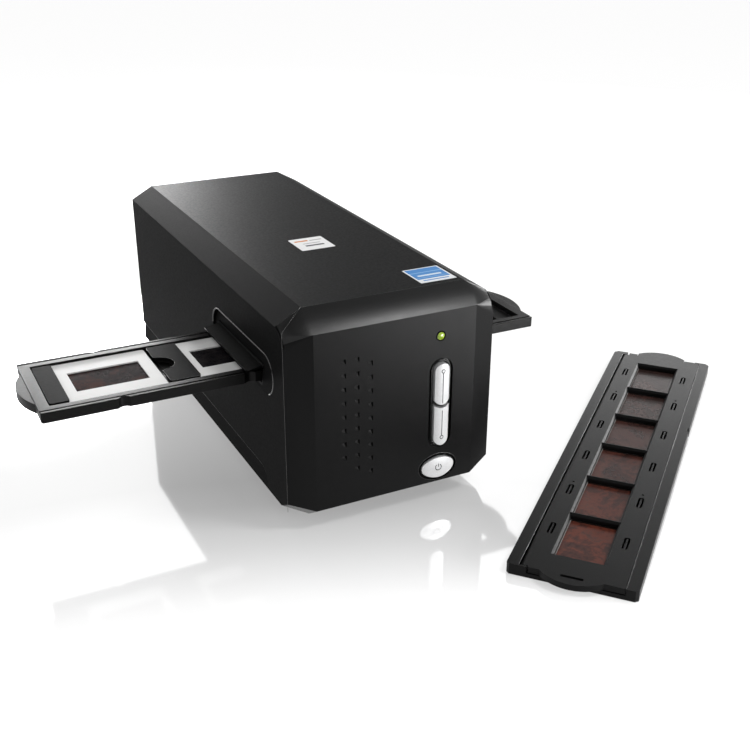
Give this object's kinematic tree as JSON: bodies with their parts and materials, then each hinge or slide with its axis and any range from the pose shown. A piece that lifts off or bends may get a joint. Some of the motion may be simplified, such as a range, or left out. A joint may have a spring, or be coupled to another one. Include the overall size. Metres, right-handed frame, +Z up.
{
  "type": "film negative scanner",
  "caption": "Desktop 35 mm film scanner: long eight-sided body with faceted bezel and buttons, a slide holder through its side slot and a hinged strip film holder beside it",
  "frame": {"origin": "middle of the scanner body's footprint, on the surface that its rubber feet stand on; the underside lies 1.5 mm above it", "axes": "+X to the right seen from the front, along the slot and the slide holder; -Y towards the front panel; +Z up"},
  "size_m": [0.4508, 0.396, 0.119],
  "materials": {
    "body_plastic": "near-black charcoal, fine satin texture",
    "base_plastic": "black, fine matt texture",
    "holder_plastic": "black, satin",
    "gloss_black": "glossy black",
    "silver_button": "silver paint under satin lacquer",
    "lamp_lens": "clear yellow-green lens",
    "circuit_board": "green solder resist",
    "electronics": "black component plastic",
    "rubber": "black rubber",
    "steel": "bright steel",
    "sheet_metal": "zinc-plated sheet",
    "diffuser_white": "opal white",
    "nut_plastic": "natural acetal",
    "mirror_glass": "front-silvered mirror",
    "slide_mount_white": "white moulded slide mount",
    "slide_film": "dark developed slide film",
    "negative_film": "reddish-brown developed film"
  },
  "bodies": {
    "housing": {"top_cover": "body_plastic", "base_tray": "base_plastic", "front_bezel": "body_plastic", "rear_panel": "base_plastic", "left_slot_frame": "body_plastic", "right_slot_frame": "body_plastic", "left_door_pin": "steel", "right_door_pin": "steel", "scan_button_trim": "gloss_black", "power_button_trim": "gloss_black", "status_lens": "lamp_lens", "button_board": "circuit_board", "tact_switches": "electronics", "rubber_feet": "rubber", "base_screws": "steel", "chassis": "sheet_metal", "film_guide": "holder_plastic", "detent_springs": "steel", "lamp_housing": "holder_plastic", "lamp_diffuser": "diffuser_white", "lamp_board": "diffuser_white", "guide_rods": "steel", "stepper_motor": "sheet_metal", "main_board": "circuit_board", "usb_port": "steel", "dc_jack": "electronics"},
    "slide_holder": {"slide_tray": "holder_plastic", "slide_clips": "gloss_black", "slide_mount_1": "slide_mount_white", "slide_mount_2": "slide_mount_white", "slide_mount_3": "slide_mount_white", "slide_film_1": "slide_film", "slide_film_2": "slide_film", "slide_film_3": "slide_film"},
    "left_door": {"left_dust_door": "holder_plastic"},
    "right_door": {"right_dust_door": "holder_plastic"},
    "upper_button": {"upper_scan_button": "silver_button"},
    "lower_button": {"lower_scan_button": "silver_button"},
    "power_key": {"power_button": "silver_button"},
    "carriage": {"scan_carriage": "holder_plastic", "carriage_nut": "nut_plastic", "fold_mirror": "mirror_glass", "lens_barrel": "gloss_black", "sensor_board": "circuit_board"},
    "drive_screw": {"lead_screw": "steel"},
    "strip_holder": {"strip_base": "holder_plastic", "strip_hinge_pins": "steel", "film_strip": "negative_film"},
    "strip_lid": {"strip_cover": "holder_plastic"}
  },
  "joints": [
    {"name": "slide_holder_travel", "type": "slide", "parent": "housing", "child": "slide_holder", "axis": [-1, 0, 0], "range_m": [-0.235, 0.18]},
    {"name": "left_door_hinge", "type": "hinge", "parent": "housing", "child": "left_door", "pos_m": [-0.0579, -0.0658, 0.0813], "axis": [0, 1, 0], "range_deg": [0, 56], "stiffness_Nm_per_rad": 0.001, "springref_deg": -20.05},
    {"name": "right_door_hinge", "type": "hinge", "parent": "housing", "child": "right_door", "pos_m": [0.0579, -0.0658, 0.0813], "axis": [0, -1, 0], "range_deg": [0, 56], "stiffness_Nm_per_rad": 0.001, "springref_deg": -20.05},
    {"name": "upper_button_press", "type": "slide", "parent": "housing", "child": "upper_button", "axis": [0, 1, 0], "range_m": [0, 0.0008], "stiffness_N_per_m": 400, "springref_m": -0.001},
    {"name": "lower_button_press", "type": "slide", "parent": "housing", "child": "lower_button", "axis": [0, 1, 0], "range_m": [0, 0.0008], "stiffness_N_per_m": 400, "springref_m": -0.001},
    {"name": "power_button_press", "type": "slide", "parent": "housing", "child": "power_key", "axis": [0, 1, 0], "range_m": [0, 0.0008], "stiffness_N_per_m": 400, "springref_m": -0.001},
    {"name": "carriage_travel", "type": "slide", "parent": "housing", "child": "carriage", "axis": [1, 0, 0], "range_m": [-0.019, 0.019]},
    {"name": "drive_screw_turn", "type": "hinge", "parent": "housing", "child": "drive_screw", "pos_m": [0, -0.108, 0.03], "axis": [1, 0, 0], "range_deg": [-3600, 3600]},
    {"name": "strip_holder_lift", "type": "slide", "parent": "housing", "child": "strip_holder", "axis": [0, 0, 1], "range_m": [0, 0.06]},
    {"name": "strip_lid_hinge", "type": "hinge", "parent": "strip_holder", "child": "strip_lid", "pos_m": [0.13264, -0.12583, 0.00436], "axis": [-0.7547, -0.6561, 0], "range_deg": [0, 95]}
  ],
  "couplings": [
    {"joint": "drive_screw_turn", "follows": "carriage_travel", "rad_per_m": -3141.6}
  ]
}
